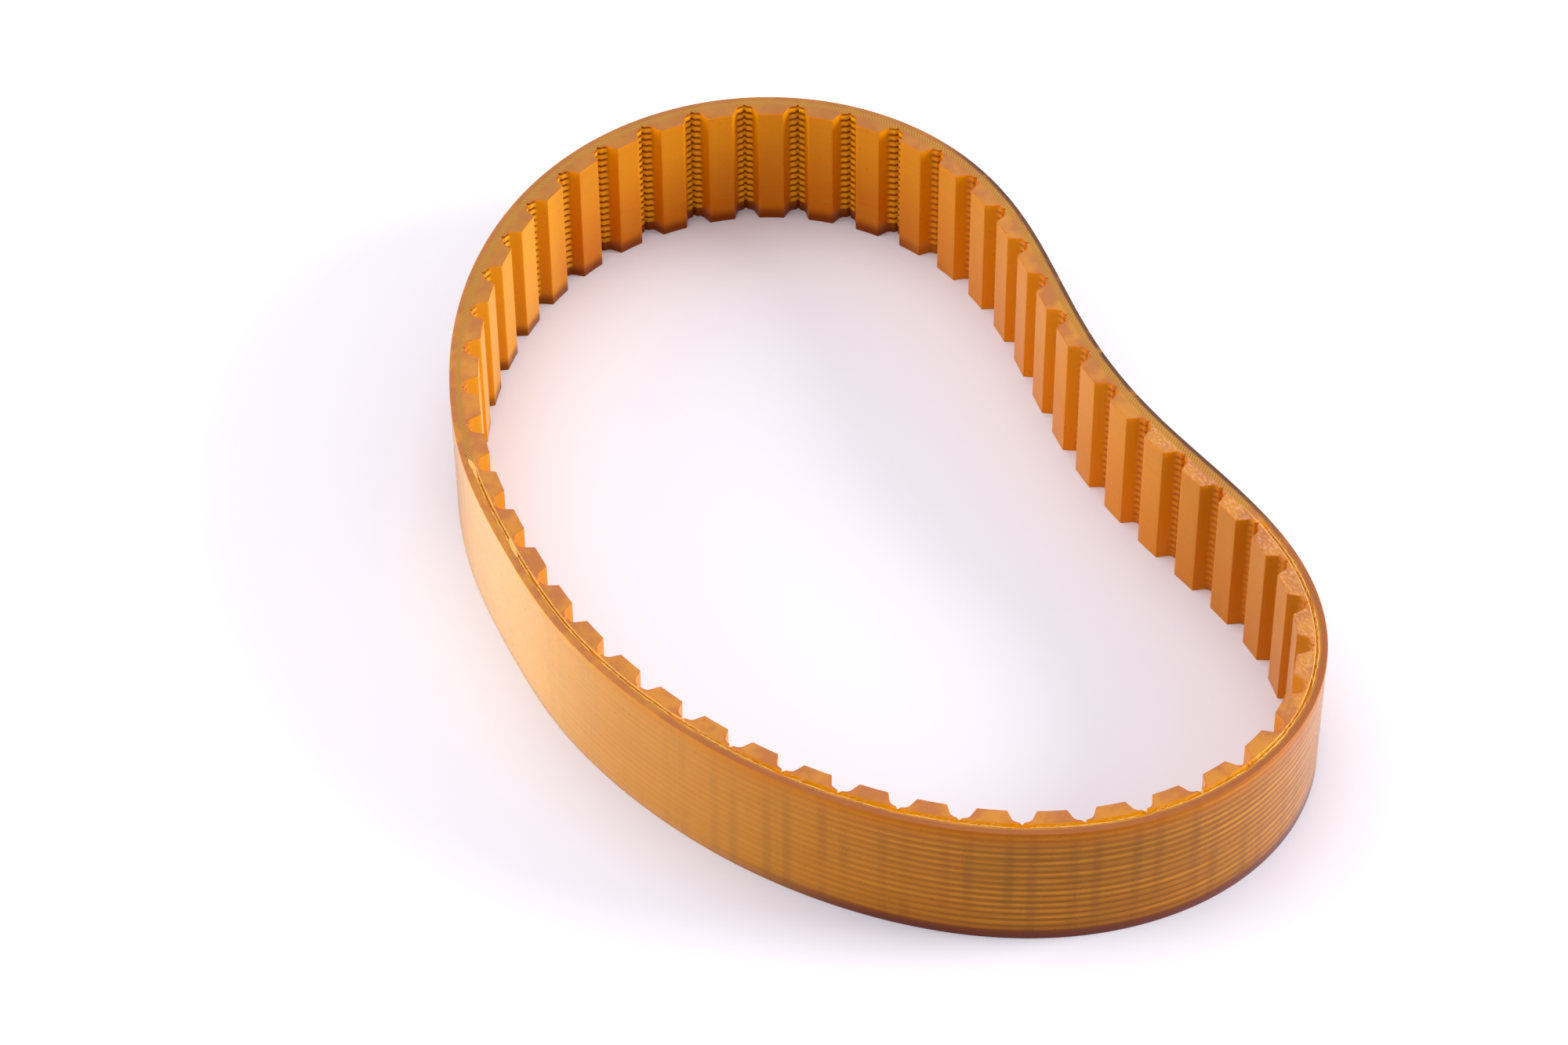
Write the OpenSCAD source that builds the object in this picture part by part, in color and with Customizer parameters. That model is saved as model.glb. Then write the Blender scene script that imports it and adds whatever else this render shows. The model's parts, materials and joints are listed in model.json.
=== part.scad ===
// Endless toothed drive belt, cast in polyurethane over a layer of wound tension cords.
// It stands on its cut edge, as a free loop that has sprung into a dented oval.
// The bending belt is a chain of short links, hinged on the cord line where the belt is thinnest.

/* [Belt] */
// Distance from one tooth to the next, along the cords
tooth_pitch = 10; // [9.5:0.1:11]
// Width of the belt, which is its height as it stands
belt_w = 25; // [16:1:50]
// Links in the chain, each with two teeth
links = 25; // [21:1:31]

/* [Tooth] */
// Height of a tooth above the floor of the gap
tooth_h = 2.5; // [2:0.1:3]
// Width of a tooth at its tip
tip_w = 5; // [4:0.1:5.4]
// Lean of each flank away from the tooth's middle, in degrees
flank_lean = 25; // [20:1:26]
// Radius between a flank and the floor of the gap
root_r = 0.8; // [0.3:0.1:0.8]

/* [Back and cords] */
// Depth of the cord line below the floor of the gap
cord_depth = 1; // [0.8:0.1:1.2]
// Thickness from the cord line to the back of the belt
back_t = 1.5; // [1.2:0.1:2]
// Diameter of a tension cord
cord_d = 0.9; // [0.6:0.05:1]
// Distance from one turn of cord to the next, across the belt
cord_gap = 1.44; // [1.3:0.02:2]
// How far the topmost turn lies below the upper cut edge, which shaves it
edge_turn_depth = 0.1; // [0.05:0.05:0.4]

/* [Groove in each gap] */
// Width of the groove that the mould's winding nose leaves
nose_w = 1; // [0.8:0.1:1.4]
// Depth of that groove
nose_depth = 0.6; // [0.4:0.05:0.6]

/* [Shape of the loop] */
// How far the loop's bend swings twice round the loop, as a share of its mean bend
swing_2 = -0.77; // [-0.9:0.01:0]
// The same three times round
swing_3 = -0.54; // [-0.6:0.01:0]
// The same four times round
swing_4 = -0.25; // [-0.3:0.01:0]
// The same five times round
swing_5 = -0.12; // [-0.2:0.01:0]
// The same six times round
swing_6 = -0.09; // [-0.1:0.01:0]
// Lean of the loop to one side, twice round
lean_2 = -0.13; // [-0.2:0.01:0.2]
// Lean of the loop to one side, three times round
lean_3 = -0.1; // [-0.2:0.01:0.2]

/* [Hinges] */
// Room on each side of a hinge at the back of the belt, in degrees
back_room = 8; // [6:0.5:9]
// Room on each side of a hinge between the cord line and the groove, in degrees
groove_room = 12.5; // [10:0.5:14]

/* [Hidden] */
$fn = 360;
cord_fn = 24;
// running clearance of a cord in its channel
slip = 0.01;
// a length past every face
beyond = 5;
// chords in a root fillet
fillet_steps = 4;
// gap left at the one open joint, halfway round from link 0, where the chain's two ends meet
open_gap = 0.1;
open_link = floor(links / 2);
// how far a cord stops short of each hinge, so that the ends stay apart as the hinge bends
end_room = cord_d / 2 * tan(groove_room) + slip;
link_len = 2 * tooth_pitch;
mean_turn = 360 / links;
tip_v = cord_depth + tooth_h;
root_half = tip_w / 2 + tooth_h * tan(flank_lean);
// the root fillet's centre stands this far from the foot of the flank
fillet_run = root_r * tan((90 - flank_lean) / 2);
cord_turns = floor((belt_w - edge_turn_depth - cord_d) / cord_gap) + 1;

// ---- Shape of the loop: each link turns by its own angle, and the turns close the loop.

// Swing of the bend at link i, once round the loop by c = [cosine, sine] and more often as set above
function swing(i, c) =
    let(a = i * mean_turn)
    c[0] * cos(a) + c[1] * sin(a)
    + swing_2 * cos(2 * a) + swing_3 * cos(3 * a) + swing_4 * cos(4 * a)
    + swing_5 * cos(5 * a) + swing_6 * cos(6 * a)
    + lean_2 * sin(2 * a) + lean_3 * sin(3 * a);

function turns_with(c) = [for (i = [0:links - 1]) mean_turn * (1 + swing(i, c))];

// Direction at the start of every link. The middle of link 0 runs along +Y.
function headings(t) =
    [for (i = 0, h = 90 - t[0] / 2; i < links; h = h + t[i], i = i + 1) h];

// Straight distance from a link's start to its end
function chord(t) = abs(t) < 0.01 ? link_len : 2 * link_len * sin(t / 2) * 180 / (PI * t);

function step(t, h) = chord(t) * [cos(h + t / 2), sin(h + t / 2)];

function steps(t) = let(h = headings(t)) [for (i = [0:links - 1]) step(t[i], h[i])];

// Adds up a list of points
function total(v) = [for (p = v) 1] * v;

function opening(c) = total(steps(turns_with(c)));

// Newton's method on the once-round swing, until the last link meets the first
function close_loop(c, tries) =
    tries == 0 ? c :
    let(
        nudge = 0.001,
        g = opening(c),
        gx = (opening(c + [nudge, 0]) - g) / nudge,
        gy = (opening(c + [0, nudge]) - g) / nudge,
        det = gx[0] * gy[1] - gx[1] * gy[0]
    )
    close_loop(
        c + [g[1] * gy[0] - g[0] * gy[1], gx[1] * g[0] - gx[0] * g[1]] / det,
        tries - 1
    );

turn = turns_with(close_loop([0, 0], 6));
heading = headings(turn);
walk = steps(turn);
raw_start = [for (i = 0, p = [0, 0]; i < links; p = p + walk[i], i = i + 1) p];

// Radius of a link's cord line, negative where the belt bends outward
function radius(t) = link_len * 180 / (PI * (abs(t) < 0.05 ? 0.05 : t));

// Point of a link at distance s along its cord line and v inward of it
function on_link(t, s, v) =
    let(r = radius(t), a = t * s / link_len)
    [(r - v) * sin(a), r - (r - v) * cos(a)];

function turned(p, a) = [p[0] * cos(a) - p[1] * sin(a), p[0] * sin(a) + p[1] * cos(a)];

back_line = [
    for (i = [0:links - 1], s = [0:1:link_len])
        raw_start[i] + turned(on_link(turn[i], s, -back_t), heading[i])
];
xs = [for (p = back_line) p[0]];
ys = [for (p = back_line) p[1]];
middle = [min(xs) + max(xs), min(ys) + max(ys)] / 2;
start = [for (p = raw_start) p - middle];

// ---- Pieces of a link

// Puts its children at distance s along a link's cord line, x along the belt and y inward
module at_s(t, s) {
    translate(on_link(t, s, 0)) rotate(t * s / link_len) children();
}

// Sweeps a profile round a link's arc, from distance s0 to distance s1 along the cord line.
// The profile's x is how far outward of the cord line it lies.
module along(t, s0, s1) {
    r = abs(radius(t));
    from = abs(t) * s0 / link_len;
    sweep = abs(t) * (s1 - s0) / link_len;
    translate([0, radius(t)])
        if (t > 0) rotate(from - 90) rotate_extrude(angle = sweep) translate([r, 0]) children();
        else rotate(90 - from - sweep) rotate_extrude(angle = sweep) translate([r, 0]) mirror([1, 0]) children();
}

// The flat band of back and webs, seen along Z and running on past both ends of the link
module band(t) {
    r = radius(t);
    outer = abs(r + back_t);
    inner = abs(r - cord_depth);
    long = 1.5 * link_len;
    intersection() {
        translate([0, r]) difference() {
            circle(max(outer, inner));
            circle(min(outer, inner));
        }
        translate([-link_len / 4, r > 0 ? -link_len / 2 : -link_len]) square([long, long]);
    }
}

// One tooth seen along Z, with its root fillets as short chords, from under the floor to its tip
module tooth_outline() {
    foot = root_half + fillet_run;
    fillet = [
        for (k = [0:fillet_steps])
            let(a = k * (90 - flank_lean) / fillet_steps)
            [foot - root_r * sin(a), cord_depth + root_r * (1 - cos(a))]
    ];
    polygon(concat(
        [[-foot, cord_depth / 2], [foot, cord_depth / 2]],
        fillet,
        [[tip_w / 2, tip_v], [-tip_w / 2, tip_v]],
        [for (k = [fillet_steps:-1:0]) [-fillet[k][0], fillet[k][1]]]
    ));
}

// The winding nose's groove seen along Z, open towards the inside of the loop
module groove_outline() {
    polygon([
        [0, cord_depth - nose_depth],
        [nose_w / 2, cord_depth], [nose_w / 2, cord_depth + 1],
        [-nose_w / 2, cord_depth + 1], [-nose_w / 2, cord_depth]
    ]);
}

// All that lies past a link's end, with the room its hinge needs. The hinge line is at 0, 0,
// and short is how much sooner the link stops.
module past_end(short = 0) {
    neck = cord_depth - nose_depth;
    translate([short, 0]) polygon([
        [0, 0],
        [(back_t + beyond) * tan(back_room), -back_t - beyond], [-2 * beyond, -back_t - beyond],
        [-2 * beyond, tip_v + beyond], [nose_w / 2, tip_v + beyond],
        [nose_w / 2, cord_depth], [neck * tan(groove_room), neck]
    ]);
}

// A link seen along Z. short holds how much it stops short of its start and of its end.
module link_outline(t, short) {
    difference() {
        union() {
            band(t);
            for (s = [0.25, 0.75] * link_len) at_s(t, s) tooth_outline();
        }
        at_s(t, link_len / 2) groove_outline();
        past_end(short[0]);
        at_s(t, link_len) mirror([1, 0]) past_end(short[1]);
    }
}

function cord_z(n) = belt_w - edge_turn_depth - n * cord_gap;

module placed(i) {
    translate(start[i]) rotate(heading[i]) children();
}

// ---- Sub-parts

// One link of the belt: back, webs and two teeth, with a square channel round each turn of cord
module belt_link(i) {
    t = turn[i];
    channel = cord_d + 2 * slip;
    short = open_gap / 2 * [i == open_link + 1 ? 1 : 0, i == open_link ? 1 : 0];
    color([0.82, 0.47, 0.12]) placed(i) difference() {
        linear_extrude(belt_w) link_outline(t, short);
        for (n = [0:cord_turns - 1])
            along(t, 0, link_len) translate([-channel / 2, cord_z(n) - channel / 2]) square(channel);
    }
}

// The turns of tension cord inside one link. The cut edge shaves the topmost one.
module cord_turns_of(i) {
    t = turn[i];
    color([0.86, 0.62, 0.16]) placed(i) difference() {
        for (n = [0:cord_turns - 1])
            along(t, end_room, link_len - end_room) translate([0, cord_z(n)]) circle(d = cord_d, $fn = cord_fn);
        translate([-beyond, -link_len, belt_w]) cube([link_len + 2 * beyond, 2 * link_len, beyond]);
    }
}

function number(i) = i < 9 ? str("0", i + 1) : str(i + 1);
function link_name(i) = str("belt_link_", number(i));
function cords_name(i) = str("cord_turns_", number(i));

for (i = [0:links - 1]) {
    belt_link(i);
    cord_turns_of(i);
}
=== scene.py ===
"""Looks of a toothed drive belt: an amber polyurethane loop cast over golden tension cords."""

import json
import math

import bpy
import numpy as np
from mathutils import Matrix, Vector

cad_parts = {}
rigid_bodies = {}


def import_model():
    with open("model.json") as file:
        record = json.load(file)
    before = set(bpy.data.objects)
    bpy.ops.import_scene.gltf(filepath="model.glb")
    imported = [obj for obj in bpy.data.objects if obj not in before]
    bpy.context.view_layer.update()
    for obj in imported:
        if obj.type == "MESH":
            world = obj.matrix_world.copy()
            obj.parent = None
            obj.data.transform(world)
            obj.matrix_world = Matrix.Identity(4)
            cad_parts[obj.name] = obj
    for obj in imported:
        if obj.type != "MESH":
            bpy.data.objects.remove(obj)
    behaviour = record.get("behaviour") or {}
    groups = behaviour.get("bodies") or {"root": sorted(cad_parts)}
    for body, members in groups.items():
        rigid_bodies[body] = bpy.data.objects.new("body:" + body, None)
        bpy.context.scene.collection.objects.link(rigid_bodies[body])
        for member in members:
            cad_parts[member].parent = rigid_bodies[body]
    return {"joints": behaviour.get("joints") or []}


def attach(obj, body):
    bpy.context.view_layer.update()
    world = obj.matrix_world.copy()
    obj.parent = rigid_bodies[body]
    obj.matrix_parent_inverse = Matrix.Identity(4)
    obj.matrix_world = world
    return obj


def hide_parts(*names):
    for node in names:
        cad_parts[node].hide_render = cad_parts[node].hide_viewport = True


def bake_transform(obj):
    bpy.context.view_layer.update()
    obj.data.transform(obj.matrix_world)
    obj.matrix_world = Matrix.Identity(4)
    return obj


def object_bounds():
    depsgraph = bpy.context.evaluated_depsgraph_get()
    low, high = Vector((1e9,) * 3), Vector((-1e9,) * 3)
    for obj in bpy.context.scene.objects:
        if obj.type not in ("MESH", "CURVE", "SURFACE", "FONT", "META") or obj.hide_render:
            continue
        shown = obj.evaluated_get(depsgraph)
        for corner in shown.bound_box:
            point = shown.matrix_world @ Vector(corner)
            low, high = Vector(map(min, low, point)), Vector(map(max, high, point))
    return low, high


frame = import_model()
cad_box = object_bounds()

# ---- Sizes of the belt, in millimetres

MM = 0.001
PITCH = 10.0          # tooth to tooth
LINKS = 25
LINK_PITCHES = 2
LINK_LEN = LINK_PITCHES * PITCH
LOOP_LEN = LINKS * LINK_LEN
WIDTH = (cad_box[1][2] - cad_box[0][2]) / MM
FLOOR = 1.0           # cord line to the floor of a gap
TIP = 3.5             # cord line to a tooth's tip
BACK = 1.5            # cord line to the back
TIP_HALF = 2.5        # half of a tooth's flat tip
FLANK_LEAN = math.radians(25)
ROOT_R = 1.3
TIP_R = 0.2
NOSE_DEPTH = 0.6      # groove that the mould's nose leaves in each gap
NOSE = ((0, 1), (0.03, 0.95), (0.25, 0.48), (0.45, 0.06))   # half width, share of the depth
EDGE_R = 0.08         # worn corners of the two cut edges
RIDGE = 0.14          # how far a gap's floor swells over each cord
RIDGE_STEPS = 8       # rows of faces to each ridge
CORD_R = 0.42
CORD_GAP = 1.44       # from one turn to the next
TURNS_BELOW = 16      # turns of cord under the topmost
LAY = 1.2             # one full twist of a cord
HAIR = 0.002          # gap at the seam that no hinge holds shut
FIBRES = 90           # loose filaments tried for on each link
LYING_R = 0.05        # of a filament that lies along the cord
STANDING_R = 0.034

# The cords climb like a screw thread, one spacing in a loop, so the cut edge lays the
# topmost one open from BARE_FROM to BARE_TO, millimetres along the belt.
FIRST_CORD = WIDTH + 0.91
BARE_FROM = 241.0
BARE_TO = 471.0
BRIDGE = 261.0        # a short web of polyurethane over the bare cord
BRIDGE_HALF = 2.0
GROOVE_HALF = 0.42    # the groove that it lies bare in
GROOVE_DEPTH = 0.52
GROOVE_WIDER = 0.43   # by how much the front of the groove is wider, towards the teeth
# Lumps on the cut edge where the bare cord starts and at the web: from, to, v at each, radius,
# and 0.4 for a pale lump or -1 for a dark bead, the painted shadow of a slit.
LUMPS = (
    (236.4, 238.0, -0.75, -0.45, 0.07, -1.0),
    (238.0, 241.6, -0.25, 0.15, 0.42, 0.4),
    (240.2, 243.2, 0.05, -0.02, 0.3, 0.4),
    (258.6, 263.6, 0.3, -0.12, 0.4, 0.4),
)

# Stretches of the belt that look unlike the rest, in millimetres along it: where the
# difference starts to rise, is full, starts to fall and is gone.
CLEAR = (70, 95, 190, 215)       # clear, deep amber teeth, with painted shade on their feet
SUNNY = (158, 172, 235, 245)     # brighter teeth
HAZY = (215, 250, 320, 375)      # cords hardly show through the back
HIGHLIGHT_STRETCH = (215, 255, 265, 355)   # pale highlight painted on the back, a painted reflection of the light
FRONT = (285, 330, 445, 485)     # dark rim beside the groove
WIDE = (300, 340, 405, 430)      # wide groove
# painted shade on the outer foot of the back
DARK_FOOT = (310, 350, 430, 470)
COVERED = (415, 440, 465, 490)   # ridges nearly hidden in the gaps
SHADY = (425, 450, 480, 500)     # darker teeth


def smooth(x, low, high):
    """Eases from 0 at low to 1 at high; low may be the greater of the two."""
    t = np.clip((np.asarray(x, float) - low) / (high - low), 0, 1)
    return t * t * (3 - 2 * t)


def wander(s, seed, waves=(9, 23, 51, 97, 201)):
    """A seeded waver of about -1 to 1 along the belt, which meets itself after one loop."""
    phases = np.random.default_rng(seed).uniform(0, 2 * math.pi, len(waves))
    turns = np.asarray(s, float)[..., None] / LOOP_LEN
    return np.cos(2 * math.pi * turns * np.array(waves) + phases).sum(-1) / 2.5


# ---- Centre line, through the hinges that the frame gives

def link_number(body):
    """0 for link_01, and so on."""
    return int(body.split("_")[1]) - 1


def hinge_points():
    """The hinge at the start of each link. The frame has none where the chain is open: that
    point is the middle of the arc, two links long, between its neighbours."""
    points = [None] * LINKS
    for joint in frame["joints"]:
        child, parent = link_number(joint["child"]), link_number(joint["parent"])
        start = child if child == parent + 1 else parent
        points[start] = np.array(joint["pos_m"][:2]) / MM
    gap = [point is None for point in points].index(True)
    before, after = points[gap - 1], points[(gap + 1) % LINKS]
    chord = np.linalg.norm(after - before)
    # settles on half the angle that the arc turns through
    half_turn = 0.1
    for _ in range(30):
        half_turn = math.sin(half_turn) * 2 * LINK_LEN / chord
    along = (after - before) / chord
    outward = np.array([along[1], -along[0]])
    points[gap] = (before + after) / 2 + outward * chord / 2 * math.tan(half_turn / 2)
    return np.array(points), gap


def spline_slopes(points):
    """Slopes at its points of the closed cubic spline through them."""
    eye = np.eye(len(points))
    system = 4 * eye + np.roll(eye, 1, axis=1) + np.roll(eye, -1, axis=1)
    ahead, behind = np.roll(points, -1, axis=0), np.roll(points, 1, axis=0)
    return np.linalg.solve(system, 3 * (ahead - behind))


HINGES, OPEN_HINGE = hinge_points()
SLOPES = spline_slopes(HINGES)


def centre_line(s):
    """Points of the cord line at distances s along the belt, and inward unit normals."""
    t = np.asarray(s, float) / LINK_LEN
    i = np.floor(t).astype(int)
    u = (t - i)[..., None]
    a, b = i % LINKS, (i + 1) % LINKS
    p0, p1, m0, m1 = HINGES[a], HINGES[b], SLOPES[a], SLOPES[b]
    p = (
        (2 * u**3 - 3 * u**2 + 1) * p0 + (u**3 - 2 * u**2 + u) * m0
        + (3 * u**2 - 2 * u**3) * p1 + (u**3 - u**2) * m1
    )
    d = 6 * (u**2 - u) * (p0 - p1) + (3 * u**2 - 4 * u + 1) * m0 + (3 * u**2 - 2 * u) * m1
    d /= np.linalg.norm(d, axis=-1, keepdims=True)
    return p, np.stack([-d[..., 1], d[..., 0]], axis=-1)


def on_belt(s, v, z):
    """Points in millimetres at s along the belt, v inward of the cord line and z up."""
    s, v, z = np.broadcast_arrays(s, v, z)
    p, n = centre_line(s)
    return np.concatenate([p + n * v[..., None], z[..., None]], axis=-1)


# ---- Meshes, every one with its place on the belt stored for its material

def build_mesh(rows):
    """A closed skin over rings, each the section at one station: rows is (s, v, z, extra)."""
    s, v, z, extra = np.broadcast_arrays(*rows)
    count, around = s.shape
    points = on_belt(s, v, z).reshape(-1, 3)
    ring = np.arange(around)
    after = np.roll(ring, -1)
    faces = []
    for j in range(count - 1):
        a, b = j * around, (j + 1) * around
        faces += np.stack([a + ring, a + after, b + after, b + ring], axis=1).tolist()
    faces.append(ring[::-1].tolist())
    faces.append(((count - 1) * around + ring).tolist())
    return points, faces, np.stack([s, v, z], axis=-1).reshape(-1, 3), extra.reshape(-1)


def join_parts(name, parts, material):
    """One object from build_mesh parts."""
    points, faces, belt, extra, first = [], [], [], [], 0
    for p, f, b, e in parts:
        faces += [[first + k for k in face] for face in f] if first else f
        first += len(p)
        points.append(p)
        belt.append(b)
        extra.append(e)
    mesh = bpy.data.meshes.new(name)
    points, belt, extra = np.concatenate(points), np.concatenate(belt), np.concatenate(extra)
    mesh.from_pydata((points * MM).tolist(), [], faces)
    for label, kind, field, values in (
        ("belt", "FLOAT_VECTOR", "vector", belt),
        ("rest", "FLOAT_VECTOR", "vector", points),
        ("extra", "FLOAT", "value", extra),
    ):
        mesh.attributes.new(label, kind, "POINT").data.foreach_set(field, values.ravel())
    # every side face has four corners; the end faces, with more, stay flat
    mesh.polygons.foreach_set("use_smooth", [len(face) == 4 for face in faces])
    mesh.materials.append(material)
    mesh.update()
    piece = bpy.data.objects.new(name, mesh)
    bpy.context.collection.objects.link(piece)
    return piece


# ---- The section of the casting

def arc(cx, cy, r, start, end, count):
    """Points on an arc, angles in degrees, both ends among them."""
    angles = np.radians(np.linspace(start, end, count))
    return [(cx + r * math.cos(a), cy + r * math.sin(a)) for a in angles]


def half_pitch():
    """(distance from a gap's middle, height over the cord line), to the next tooth's middle."""
    lean = math.degrees(FLANK_LEAN)
    root = PITCH / 2 - TIP_HALF - (TIP - FLOOR) * math.tan(FLANK_LEAN)
    reach = math.tan(math.radians((90 - lean) / 2))
    fillet = arc(root - ROOT_R * reach, FLOOR + ROOT_R, ROOT_R, -90, -lean, 7)
    corner = PITCH / 2 - TIP_HALF
    rounding = arc(corner + TIP_R * reach, TIP - TIP_R, TIP_R, 180 - lean, 90, 4)
    foot, head = fillet[-1], rounding[0]
    flank = [(foot[0] + (head[0] - foot[0]) * t, foot[1] + (head[1] - foot[1]) * t)
             for t in (0.33, 0.67)]
    groove = [(half, FLOOR - share * NOSE_DEPTH) for half, share in NOSE]
    land = [(d, TIP) for d in (3.3, 4.2, PITCH / 2)]
    return np.array(groove + fillet + flank + rounding + land)


HALF_PITCH = half_pitch()


def run_of(start):
    """Length of the piece that starts there: a hair less where the next one rides apart."""
    apart = round(start / LINK_LEN + 0.5) % LINKS == OPEN_HINGE
    return LINK_LEN - HAIR if apart else LINK_LEN


def stations(start):
    """(s, |distance from the gap's middle|, casting's inner height) along one link's length."""
    up = HALF_PITCH
    down = HALF_PITCH[-2::-1] * [-1, 1] + [PITCH, 0]
    one = np.concatenate([up, down])
    runs = [one[(1 if k else 0):] + [k * PITCH, 0] for k in range(LINK_PITCHES)]
    line = np.concatenate(runs)
    s = start + line[:, 0]
    d = np.abs((line[:, 0] + PITCH / 2) % PITCH - PITCH / 2)
    return s, d, line[:, 1]


def cord_phase(s, z):
    """Cord spacings below the first cord, a whole number on a cord's centre line."""
    return (FIRST_CORD - z) / CORD_GAP - s / LOOP_LEN


def bareness(s):
    """1 where the cut edge has laid the topmost cord open, 0 where the casting covers it."""
    s = np.asarray(s, float) % LOOP_LEN
    opened = smooth(s, BARE_FROM, BARE_FROM + 3) * (1 - smooth(s, BARE_TO - 6, BARE_TO))
    web = 1 - smooth(np.abs(s - BRIDGE), BRIDGE_HALF, BRIDGE_HALF - 0.7)
    return opened * web


def top_edge(s, inner):
    """(v, z, openness) across the top cut edge, from the back to the teeth."""
    bare = bareness(s) * (0.85 + 0.15 * wander(s, 3))
    depth = GROOVE_DEPTH * bare
    wide = smooth(s % LOOP_LEN, *WIDE[:2]) * (1 - smooth(s % LOOP_LEN, *WIDE[2:]))
    lip = np.minimum(GROOVE_HALF + GROOVE_WIDER * bare * wide, inner - 0.12)
    lip = lip + 0.03 * bare * wander(s, 5)
    edge = -GROOVE_HALF + 0.36 * bare + 0.02 * bare * wander(s, 4, (61, 143, 251, 333))
    foot = np.minimum(0.36, lip - 0.06)
    blank = 0 * s
    columns = [
        (-1.2 + blank, WIDTH + blank, 0),
        (-0.7 + blank, WIDTH + blank, 0),
        (edge - 0.06, WIDTH + blank, 0),
        # down into the groove, across its bed and up to its lip
        (edge, WIDTH - 0.25 * depth, 1),
        (edge + 0.04, WIDTH - depth, 1),
        ((edge + foot) / 2, WIDTH - depth * 1.04, 1),
        (foot, WIDTH - depth * 0.9, 1),
        (lip, WIDTH - 0.1 * depth, 1),
        (lip + 0.05, WIDTH + blank, 0),
    ]
    reach = inner - EDGE_R - lip - 0.05
    columns += [(lip + 0.05 + reach * t, WIDTH + blank, 0) for t in (0.33, 0.67)]
    return [(v, z, bare * on) for v, z, on in columns]


def casting_rows(start):
    """Rings of the casting from one link's middle to the next."""
    s, d, inner = stations(start)
    s[-1] = start + run_of(start)
    z_rows = np.arange(WIDTH - EDGE_R, EDGE_R, -CORD_GAP / RIDGE_STEPS)
    z_rows[-1] = EDGE_R
    in_gap = 1 - smooth(d, 1.15, 1.8)
    grain = 1 + 0.2 * wander(s, 11)

    def swell(z):
        phase = cord_phase(s, z)
        on_cords = smooth(z, 1.3, 1.9)
        crest = 0.5 + 0.5 * np.cos(2 * math.pi * phase)
        return in_gap * on_cords * grain * RIDGE * crest

    # once round the section, from the foot of the back
    bevel = EDGE_R * (1 - math.sqrt(0.5))
    v_top, v_foot = inner + swell(WIDTH - EDGE_R), inner + swell(EDGE_R)
    ring = [(-BACK + EDGE_R, 0, 0), (-BACK + bevel, bevel, 0)]
    ring += [(-BACK, z, 0) for z in np.linspace(EDGE_R, WIDTH - EDGE_R, 12)]
    ring += [(-BACK + bevel, WIDTH - bevel, 0), (-BACK + EDGE_R, WIDTH, 0)]
    ring += top_edge(s, v_top)
    ring += [(v_top - EDGE_R, WIDTH, 0), (v_top - bevel, WIDTH - bevel, 0)]
    ring += [(inner + swell(z), z, 0) for z in z_rows]
    ring += [(v_foot - bevel, bevel, 0), (v_foot - EDGE_R, 0, 0)]
    ring += [(-BACK + EDGE_R + (v_foot + BACK - 2 * EDGE_R) * t, 0, 0) for t in (0.67, 0.33)]
    columns = [np.stack(np.broadcast_arrays(s, v, z, e), axis=-1) for v, z, e in ring]
    grid = np.stack(columns, axis=1)
    return grid[..., 0], grid[..., 1], grid[..., 2], grid[..., 3]


# ---- The cords

def rope_rows(s, v, z, radius, sides, twist, ragged):
    """Rings of a three-strand cord along s. The rings run clockwise seen along the belt."""
    turn = np.linspace(0, 2 * math.pi, sides, endpoint=False)[None, :]
    s, v, z = (np.asarray(x, float)[:, None] for x in (s, v, z))
    strand = np.abs(np.cos(1.5 * (turn - twist * 2 * math.pi * s / LAY)))
    r = radius * (0.84 + 0.16 * strand) * (1 + ragged * wander(s, 21, (311, 433, 577, 701)))
    return s + 0 * turn, v - r * np.cos(turn), z + r * np.sin(turn), strand


def top_cord(start):
    """The topmost cord, cut off where it would rise out of the edge, and sunk where bare."""
    first, last = max(start, BARE_FROM - 2), start + run_of(start)
    s = np.linspace(first, last, 1 + round((last - first) * 10))
    level = np.minimum(FIRST_CORD - CORD_GAP * s / LOOP_LEN, WIDTH - 0.53)
    bare = bareness(s)
    z = level - bare * (0.12 + 0.05 * wander(s, 31))
    return build_mesh(rope_rows(s, 0.04 * bare, z, CORD_R, 15, 1, 0.03))


def inner_cords(start):
    """The turns below it, inside the casting."""
    s = start + np.linspace(0, run_of(start), 17)
    turns = []
    for k in range(1, TURNS_BELOW + 1):
        z = FIRST_CORD - CORD_GAP * (s / LOOP_LEN + k)
        turns.append(build_mesh(rope_rows(s, 0 * s, z, CORD_R * 0.85, 9, 0, 0)))
    return turns


def fibres(start, rng):
    """Loose filaments along the laid-open stretch: of each three, two lie and one stands up."""
    parts = []
    for k in range(FIBRES):
        s0 = start + rng.uniform(0.2, LINK_LEN - 3.2)
        lies = k % 3 > 0
        length = rng.uniform(1.2, 3.0) if lies else rng.uniform(0.4, 1.2)
        rise = rng.uniform(-0.04, 0.06) if lies else rng.uniform(0.05, 0.32)
        lean, bend = rng.normal(0, 0.05 if lies else 0.3), rng.uniform(-0.1, 0.1)
        side = rng.uniform(-0.14, 0.02) if lies else rng.uniform(-0.1, 0.4)
        if rng.random() > float(bareness(s0 + length / 2)):
            continue
        t = np.linspace(0, 1, 9)
        s = s0 + length * t
        v = side + lean * t + bend * t * t
        z = WIDTH - 0.22 + (rise + 0.22) * np.sin(t * math.pi * (0.9 if lies else 0.6))
        thin = (LYING_R if lies else STANDING_R) * (1 - 0.5 * t)
        turn = np.linspace(0, 2 * math.pi, 5, endpoint=False)[None, :]
        rows = (
            s[:, None] + 0 * turn,
            v[:, None] - thin[:, None] * np.cos(turn),
            z[:, None] + thin[:, None] * np.sin(turn),
            1 + 0 * turn + 0 * s[:, None],
        )
        parts.append(build_mesh(rows))
    return parts


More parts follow.
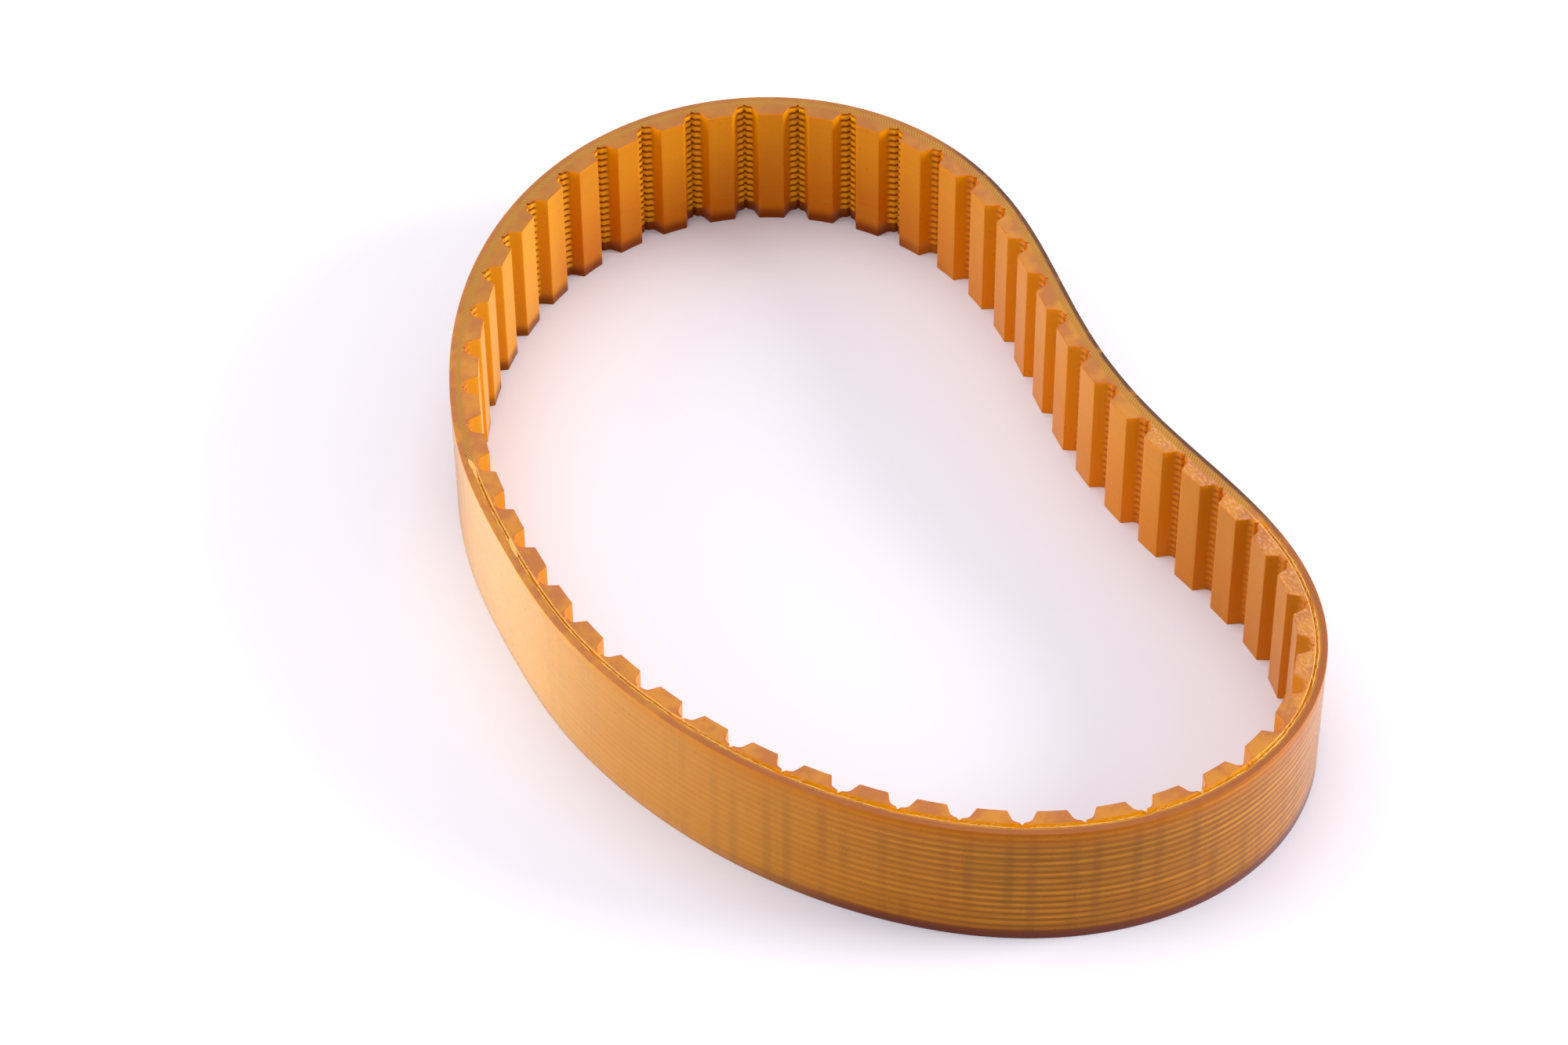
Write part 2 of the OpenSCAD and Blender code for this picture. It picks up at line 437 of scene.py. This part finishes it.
def bead(s_from, s_to, v_from, v_to, radius, mark):
    """A low lump that lies askew on the cut edge; mark is what its material reads."""
    t = np.linspace(0.02, 0.98, 21)[:, None]
    turn = np.linspace(0, 2 * math.pi, 12, endpoint=False)[None, :]
    s = s_from + (s_to - s_from) * t + 0 * turn
    swell = np.sin(math.pi * t) ** 0.6 * (1 + 0.12 * wander(s * 3, 8))
    v = v_from + (v_to - v_from) * t - radius * swell * np.cos(turn)
    z = WIDTH - 0.03 + radius * 0.5 * swell * np.sin(turn)
    return build_mesh((s, v, z, mark + 0 * s))


# ---- Materials

def rgb(r, g, b):
    """A colour given as display values of 0 to 255."""
    def linear(c):
        c /= 255
        return c / 12.92 if c <= 0.04045 else ((c + 0.055) / 1.055) ** 2.4
    return (linear(r), linear(g), linear(b), 1.0)


BETWEEN_CORDS, OVER_CORDS = rgb(130, 72, 8), rgb(190, 124, 15)
# the last of these is painted shade on the back behind the teeth
MOTTLE, HAZE, PAINTED_TOOTH_SHADE = rgb(128, 86, 18), rgb(176, 108, 16), rgb(96, 58, 16)
UPPER_BACK = rgb(172, 94, 14)
# pale painted highlight on the back, a painted reflection of the light
PAINTED_HIGHLIGHT, PAINTED_HIGHLIGHT_PALEST = rgb(212, 152, 62), rgb(234, 188, 120)
LAND, LAND_LOW, LAND_LOW_CLEAR = rgb(198, 126, 9), rgb(196, 116, 3), rgb(184, 100, 2)
LAND_STREAK = rgb(184, 118, 14)
# low flank colours: a painted glow, and darker low down on the clear stretch
FLANK, FLANK_LOW, FLANK_LOW_CLEAR = rgb(206, 132, 0), rgb(216, 128, 0), rgb(192, 104, 0)
# painted shade at the root of the teeth
ROOT = rgb(160, 84, 0)
CREST, CREST_CLEAR = rgb(200, 118, 4), rgb(228, 158, 14)
# the floor between the ridges: its darker tone and painted shadow under each ridge
VALLEY_AND_SHADOW, VALLEY_AND_SHADOW_CLEAR = rgb(164, 88, 2), rgb(128, 70, 3)
SHADY_TEETH, SUNNY_TEETH = rgb(142, 82, 8), rgb(226, 164, 22)
# the foot colour is painted shade, partly the redder casting below the cords
FLECK, FOOT, GREY_BROWN = rgb(96, 52, 8), rgb(90, 14, 0), rgb(58, 50, 46)
CUT, CUT_PATCH, CUT_CLEAR = rgb(178, 120, 53), rgb(160, 100, 58), rgb(146, 96, 46)
OLIVE, OLIVE_DARK = rgb(168, 128, 58), rgb(134, 94, 36)
RIM, SPECK, FROST, OUTLINE = rgb(136, 80, 48), rgb(128, 78, 40), rgb(216, 166, 134), rgb(166, 74, 30)
# the pale lip is torn casting with a painted highlight where it catches the light
GROOVE, TORN_LIP_AND_HIGHLIGHT = rgb(192, 122, 6), rgb(226, 176, 112)
# the dark one is the painted shadow of a slit in the cut edge
LUMP, SLIT_SHADOW = rgb(224, 158, 90), rgb(34, 20, 12)
# painted shade between the strands of a cord, and their brighter crowns
STRAND_SHADE, STRAND_CROWN = rgb(156, 82, 1), rgb(212, 128, 6)
HAIR_TINT, FRAYED = rgb(212, 146, 34), rgb(222, 168, 74)


class Graph:
    """A material's nodes, written as sums. A factor or value may be a number or a socket."""

    def __init__(self, name):
        self.material = bpy.data.materials.new(name)
        self.material.use_nodes = True
        self.tree = self.material.node_tree
        self.shader = self.tree.nodes["Principled BSDF"]

    def put(self, socket, value):
        if isinstance(value, bpy.types.NodeSocket):
            self.tree.links.new(value, socket)
        else:
            socket.default_value = value

    def math(self, operation, *values):
        node = self.tree.nodes.new("ShaderNodeMath")
        node.operation = operation
        for socket, value in zip(node.inputs, values):
            self.put(socket, value)
        return node.outputs[0]

    def times(self, *values):
        out = values[0]
        for value in values[1:]:
            out = self.math("MULTIPLY", out, value)
        return out

    def apart(self, a, b):
        """The distance between two values."""
        return self.math("ABSOLUTE", self.math("SUBTRACT", a, b))

    def step(self, value, low, high, out_low=0.0, out_high=1.0):
        """Eases from out_low at low to out_high at high; low may be the greater of the two."""
        node = self.tree.nodes.new("ShaderNodeMapRange")
        node.interpolation_type = "SMOOTHSTEP"
        for socket, item in zip(node.inputs, (value, low, high, out_low, out_high)):
            self.put(socket, item)
        return node.outputs[0]

    def stretch(self, value, rises, risen, falls, fallen):
        """1 from risen to falls, easing to 0 outwards, at rises and at fallen."""
        return self.times(self.step(value, rises, risen), self.step(value, fallen, falls))

    def mix(self, factor, a, b):
        node = self.tree.nodes.new("ShaderNodeMix")
        node.data_type = "RGBA"
        self.put(node.inputs[0], factor)
        self.put(node.inputs[6], a)
        self.put(node.inputs[7], b)
        return node.outputs[2]

    def attribute(self, name, output="Vector"):
        node = self.tree.nodes.new("ShaderNodeAttribute")
        node.attribute_name = name
        return node.outputs[output]

    def split(self, vector):
        node = self.tree.nodes.new("ShaderNodeSeparateXYZ")
        self.put(node.inputs[0], vector)
        return node.outputs

    def noise(self, vector, scale, detail=2.0, stretch=(1, 1, 1)):
        turn = self.tree.nodes.new("ShaderNodeMapping")
        self.put(turn.inputs["Vector"], vector)
        self.put(turn.inputs["Scale"], [scale * k for k in stretch])
        node = self.tree.nodes.new("ShaderNodeTexNoise")
        self.put(node.inputs["Vector"], turn.outputs[0])
        self.put(node.inputs["Scale"], 1.0)
        self.put(node.inputs["Detail"], detail)
        return node.outputs["Fac"]

    def bump(self, height, strength, distance):
        node = self.tree.nodes.new("ShaderNodeBump")
        self.put(node.inputs["Strength"], strength)
        self.put(node.inputs["Distance"], distance)
        self.put(node.inputs["Height"], height)
        self.put(self.shader.inputs["Normal"], node.outputs[0])

    def finish(self, **values):
        """Sets the shader's sockets, with _ for a space in their names."""
        for name, value in values.items():
            self.put(self.shader.inputs[name.replace("_", " ")], value)
        return self.material


class Casting(Graph):
    """Amber casting: cords show through the back, ridges over them in the gaps."""

    def __init__(self):
        super().__init__("amber_polyurethane")
        self.run, self.v, self.z = self.split(self.attribute("belt"))
        self.s = self.math("MODULO", self.run, LOOP_LEN)
        self.d = self.math("PINGPONG", self.s, PITCH / 2)
        self.rest = self.attribute("rest")
        self.opened = self.attribute("extra", "Fac")
        self.streaks = self.noise(self.rest, 1.0, 2.0, (0.06, 0.06, 1.6))
        self.cloud = self.noise(self.rest, 0.05, 3.0)
        self.speckle = self.noise(self.rest, 4.0, 2.0)
        self.grey_patches = self.step(self.noise(self.rest, 0.35, 4.0), 0.25, 0.45)
        self.clear = self.stretch(self.s, *CLEAR)
        self.laid_open = self.stretch(self.s, BARE_FROM - 4, BARE_FROM + 1, BARE_TO, BARE_TO + 5)
        # the dented stretch runs over the loop's start
        self.dented = self.math("MAXIMUM", self.step(self.s, 455, 480), self.step(self.s, 88, 70))

    def stripes(self, shift):
        """1 over each cord and 0 between them, shifted by a part of their spacing."""
        height = self.math("DIVIDE", self.math("SUBTRACT", FIRST_CORD, self.z), CORD_GAP)
        phase = self.math("SUBTRACT", height, self.math("DIVIDE", self.run, LOOP_LEN))
        wave = self.math("COSINE", self.times(self.math("ADD", phase, shift), 2 * math.pi))
        return self.math("MULTIPLY_ADD", wave, 0.5, 0.5)

    def back(self):
        """Golden cords seen through the casting, with painted shade in bands behind the teeth."""
        seen = self.times(self.stripes(0.39), self.step(self.streaks, 0.3, 0.65, 0.4, 1.0))
        back = self.mix(seen, BETWEEN_CORDS, OVER_CORDS)
        back = self.mix(self.step(self.cloud, 0.4, 0.65, 0.0, 0.25), back, MOTTLE)
        back = self.mix(self.times(self.stretch(self.s, *HAZY), 0.7), back, HAZE)
        # painted shade: darker bands on the back behind the teeth's flanks
        by_flank = self.stretch(self.d, 0.6, 1.5, 2.0, 3.2)
        shade = self.times(by_flank, self.step(self.cloud, 0.35, 0.6, 0.05, 0.3))
        back = self.mix(shade, back, PAINTED_TOOTH_SHADE)
        return self.mix(self.step(self.z, 20.0, 24.6, 0.0, 0.5), back, UPPER_BACK)

    def paint_highlight(self, back):
        """Paints a pale highlight, a painted reflection of the light, on one stretch of the back."""
        uneven = self.step(self.cloud, 0.2, 0.8, 0.75, 1.0)
        streaky = self.step(self.streaks, 0.2, 0.7, 0.72, 0.84)
        pale = self.mix(self.step(self.s, 305, 250), PAINTED_HIGHLIGHT, PAINTED_HIGHLIGHT_PALEST)
        return self.mix(self.times(self.stretch(self.s, *HIGHLIGHT_STRETCH), uneven, streaky), back, pale)

    def land(self):
        """The teeth's flat tips."""
        low = self.mix(self.clear, LAND_LOW, LAND_LOW_CLEAR)
        land = self.mix(self.step(self.z, 3.0, 24.0), low, LAND)
        return self.mix(self.times(self.step(self.streaks, 0.35, 0.7), 0.35), land, LAND_STREAK)

    def flank(self):
        """The teeth's sides: a painted glow low down, darker low down on the clear stretch, and
        painted shade towards the root.
        """
        low = self.mix(self.clear, FLANK_LOW, FLANK_LOW_CLEAR)
        flank = self.mix(self.step(self.z, 2.0, 24.0), low, FLANK)
        # painted shade towards the root of each flank
        return self.mix(self.step(self.v, 2.0, 1.1, 0.0, 0.5), flank, ROOT)

    def ridges(self, flank):
        """The gaps: bright cords on a darker floor, dark partly in its own tone and partly with
        painted shadow under each ridge; faint where the casting covers them.
        """
        gold = self.mix(self.clear, CREST, CREST_CLEAR)
        # partly painted shadow under each ridge
        dark = self.mix(self.clear, VALLEY_AND_SHADOW, VALLEY_AND_SHADOW_CLEAR)
        ridge = self.mix(self.step(self.stripes(0.0), 0.1, 0.55), dark, gold)
        return self.mix(self.times(self.stretch(self.s, *COVERED), 0.7), ridge, flank)

    def toothed_side(self):
        """Lands, flanks and gaps, in shade on the right and bright on the left."""
        flank = self.flank()
        inner = self.mix(self.step(self.v, 3.05, 3.45), flank, self.land())
        inner = self.mix(self.times(self.stretch(self.s, *SHADY), 0.3), inner, SHADY_TEETH)
        inner = self.mix(self.times(self.stretch(self.s, *SUNNY), 0.4), inner, SUNNY_TEETH)
        in_gap = self.times(self.step(self.d, 1.7, 1.15), self.step(self.z, 1.2, 2.2))
        return self.mix(in_gap, inner, self.ridges(flank))

    def sides(self):
        """Every face between the two cut edges."""
        back = self.paint_highlight(self.back())
        side = self.mix(self.step(self.v, -1.3, -1.1), back, self.toothed_side())
        fleck = self.step(self.noise(self.rest, 2.3, 0.0), 0.79, 0.83)
        side = self.mix(self.times(fleck, 0.4), side, FLECK)
        # the feet are darkened with painted shade, partly the redder casting below the cords
        on_back = self.step(self.v, -1.3, -1.45)
        outer_foot_shade = self.times(on_back, self.stretch(self.s, *DARK_FOOT), 0.98)
        foot_shade = self.math("MAXIMUM", self.times(self.clear, 0.8), outer_foot_shade)
        side = self.mix(self.times(self.step(self.z, 3.3, 0.8), foot_shade), side, FOOT)
        # grey-brown patches along the top of the back on the dented stretch
        upper_back = self.times(self.step(self.v, -1.2, -1.4), self.step(self.z, 22.5, 24.6))
        return self.mix(self.times(self.dented, self.grey_patches, upper_back), side, GREY_BROWN)

    def from_outline(self):
        """How far a point of the cut face lies inside the outline of teeth and gaps."""
        steepness = 1 / math.tan(FLANK_LEAN)
        start = TIP - steepness * (PITCH / 2 - TIP_HALF)
        slope = self.math("MULTIPLY_ADD", self.d, steepness, start)
        by_floor = self.math("SUBTRACT", FLOOR, self.v)
        by_flank = self.times(self.math("SUBTRACT", slope, self.v), math.sin(FLANK_LEAN))
        by_tip = self.math("SUBTRACT", TIP, self.v)
        return self.math("MINIMUM", self.math("MAXIMUM", by_floor, by_flank), by_tip)

    def covered_cord(self, cut):
        """An olive, twisted band where the topmost cord lies just under the cut face."""
        askew = self.math("MULTIPLY_ADD", self.v, 0.8, self.s)
        twist = self.math("SINE", self.times(askew, 4 * math.pi / LAY))
        olive = self.mix(self.step(twist, -1.0, 1.0), OLIVE_DARK, OLIVE)
        near = self.step(self.apart(self.v, 0.08), 0.75, 0.25)
        hidden = self.math("SUBTRACT", 0.8, self.times(self.laid_open, 0.8))
        return self.mix(self.times(near, hidden), cut, olive)

    def cut_face(self):
        """The upper cut edge, with its dark rim, scratches and grey-brown patches at its outer edge.
        """
        patches = self.step(self.noise(self.rest, 0.22, 4.0), 0.38, 0.62)
        cut = self.mix(patches, CUT, CUT_PATCH)
        cut = self.mix(self.times(self.clear, 0.6), cut, CUT_CLEAR)
        cut = self.covered_cord(cut)
        dark_rim = self.step(self.stretch(self.s, *FRONT), 0.0, 1.0, 0.1, 0.9)
        cut = self.mix(self.times(self.step(self.v, -0.3, -0.6), dark_rim), cut, RIM)
        cut = self.mix(self.times(self.step(self.speckle, 0.6, 0.75), 0.3), cut, SPECK)
        scratches = self.step(self.noise(self.rest, 2.2, 5.0, (1.0, 0.5, 1.0)), 0.42, 0.7)
        frost = self.times(self.step(self.s, 415, 440), self.step(self.v, 0.4, 0.9), scratches)
        cut = self.mix(self.times(frost, 0.4), cut, FROST)
        # grey-brown patches along the outer edge of the cut face on the dented stretch
        grey_edge = self.times(self.dented, self.step(self.v, -0.4, -1.0), self.grey_patches)
        cut = self.mix(self.times(grey_edge, 0.9), cut, GREY_BROWN)
        return self.mix(self.step(self.from_outline(), 0.28, 0.1, 0.0, 0.35), cut, OUTLINE)

    def torn(self, colour):
        """The groove of the bare cord, its pale torn lips with a painted highlight, the lumps and
        the painted shadow of a slit.
        """
        colour = self.mix(self.step(self.opened, 0.0, 0.9), colour, GROOVE)
        lip = self.times(self.step(self.apart(self.v, 0.5), 0.13, 0.05), self.laid_open)
        ragged = self.step(self.speckle, 0.35, 0.6, 0.2, 0.9)
        off_front = self.step(self.apart(self.s, 370.0), 40, 70)
        # pale lips: torn casting, partly a painted highlight where the lip catches the light
        colour = self.mix(self.times(lip, ragged, off_front), colour, TORN_LIP_AND_HIGHLIGHT)
        colour = self.mix(self.stretch(self.opened, 0.3, 0.38, 0.42, 0.5), colour, LUMP)
        # painted shadow: a dark bead stands for the shade inside a slit
        return self.mix(self.step(self.opened, -0.2, -0.8), colour, SLIT_SHADOW)


def polyurethane():
    """The casting's colour, with painted highlights, glow and shade in it, and its gloss, with light
    scattered a little way inside.
    """
    g = Casting()
    on_top = g.step(g.z, WIDTH - 0.06, WIDTH - 0.02)
    colour = g.torn(g.mix(on_top, g.sides(), g.cut_face()))
    g.bump(g.speckle, 0.15, 0.00005)
    rough = g.times(g.step(g.cloud, 0.3, 0.7, 0.3, 0.42), g.step(g.v, -1.3, -1.45, 1.0, 0.75))
    return g.finish(
        Base_Color=colour, Roughness=rough, IOR=1.5, Specular_Tint=(1.0, 0.35, 0.02, 1),
        Subsurface_Weight=0.35, Subsurface_Radius=(1.0, 0.45, 0.1), Subsurface_Scale=0.0016,
    )


def aramid():
    """Golden fibre with painted shade between the strands, so each strand's crown looks brighter,
    and bright along loose filaments.
    """
    g = Graph("golden_cord")
    strand = g.attribute("extra", "Fac")
    hair = g.noise(g.attribute("rest"), 9.0, 2.0)
    z = g.split(g.attribute("belt"))[2]
    # painted shade in the crevices between strands
    colour = g.mix(strand, STRAND_SHADE, STRAND_CROWN)
    colour = g.mix(g.times(g.step(hair, 0.45, 0.7), 0.35), colour, HAIR_TINT)
    colour = g.mix(g.step(z, WIDTH - 0.14, WIDTH - 0.04), colour, FRAYED)
    g.bump(hair, 0.3, 0.00004)
    return g.finish(Base_Color=colour, Roughness=0.55, Specular_IOR_Level=0.3)


AMBER = polyurethane()
CORD = aramid()


# ---- Pieces: one from each link's middle to the next, lying over the hinge between

def body_name(i):
    return f"link_{i % LINKS + 1:02d}"


def lay_over(piece, i, node):
    """Bakes a piece in place with no parent, except the one over the open hinge, which rides on the
    link before it. Hides the part it replaces.
    """
    start, end = on_belt(np.array([i + 0.5, i + 1.5]) * LINK_LEN, 0, WIDTH / 2) * MM
    if (i + 1) % LINKS == OPEN_HINGE:
        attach(piece, body_name(i))
    else:
        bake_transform(piece)
    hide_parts(node)


for i in range(LINKS):
    start = (i + 0.5) * LINK_LEN
    casting = [build_mesh(casting_rows(start))]
    casting += [bead(*lump) for lump in LUMPS if start <= lump[0] < start + LINK_LEN]
    skin = join_parts(f"belt_skin_{i + 1:02d}", casting, AMBER)
    lay_over(skin, i, f"belt_link_{i + 1:02d}")
    cords = inner_cords(start) + fibres(start, np.random.default_rng(100 + i))
    if start + LINK_LEN > BARE_FROM:
        cords.append(top_cord(start))
    cord = join_parts(f"cord_skin_{i + 1:02d}", cords, CORD)
    lay_over(cord, i, f"cord_turns_{i + 1:02d}")


# ---- Floor, light and camera

SKY = (0.97, 0.95, 1.0, 1)
SKY_STRENGTH = 0.7
PALE = (0.72, 0.71, 0.77, 1)
# name, place and aim in metres, diameter, watts
LIGHTS = (
    ("overhead", (-0.12, 0.22, 1.0), (0, 0, 0), 1.2, 5.4),
    ("left", (-0.75, 0.35, 0.3), (0, 0, 0.01), 0.6, 5.6),
    ("right", (0.85, -0.45, 0.4), (0, 0, 0.01), 0.5, 13),
)


def floor():
    """A pale sheet that the belt stands on."""
    bpy.ops.mesh.primitive_plane_add(size=6)
    plane = bpy.context.object
    plane.name = "floor"
    g = Graph("pale_floor")
    plane.data.materials.append(g.finish(Base_Color=PALE, Roughness=0.6, Specular_IOR_Level=0.2))


def area_light(name, place, target, size, power):
    """A round soft light that points at the target."""
    lamp = bpy.data.lights.new(name, "AREA")
    lamp.shape = "DISK"
    lamp.size = size
    lamp.energy = power
    light = bpy.data.objects.new(name, lamp)
    light.location = place
    aim = Vector(target) - Vector(place)
    light.rotation_euler = aim.to_track_quat("-Z", "Y").to_euler()
    bpy.context.collection.objects.link(light)


def studio():
    """Plain, soft light from all round, and three lamps."""
    world = bpy.data.worlds.new("studio")
    bpy.context.scene.world = world
    world.use_nodes = True
    sky = world.node_tree.nodes["Background"]
    sky.inputs["Color"].default_value = SKY
    sky.inputs["Strength"].default_value = SKY_STRENGTH
    for light in LIGHTS:
        area_light(*light)
    bpy.context.scene.view_settings.view_transform = "Standard"


def camera():
    """Placed as the photograph was taken: about 45 degrees down, from the belt's front left."""
    azimuth, elevation, roll = (math.radians(a) for a in (-27.5, 44.67, -0.584))
    aim = Vector((-3.167, 13.108, 0.0)) * MM
    distance = 821.27 * MM
    back = Vector((
        math.sin(azimuth) * math.cos(elevation),
        -math.cos(azimuth) * math.cos(elevation),
        math.sin(elevation),
    ))
    level = Vector((math.cos(azimuth), math.sin(azimuth), 0))
    up = back.cross(level)
    right = math.cos(roll) * level + math.sin(roll) * up
    up = back.cross(right)
    lens = bpy.data.cameras.new("camera")
    lens.lens = 108.05
    lens.sensor_width = 36
    lens.clip_start = 0.01
    eye = bpy.data.objects.new("camera", lens)
    turn = Matrix((right, up, back)).transposed().to_4x4()
    eye.matrix_world = Matrix.Translation(aim + back * distance) @ turn
    bpy.context.collection.objects.link(eye)
    bpy.context.scene.camera = eye


floor()
studio()
camera()
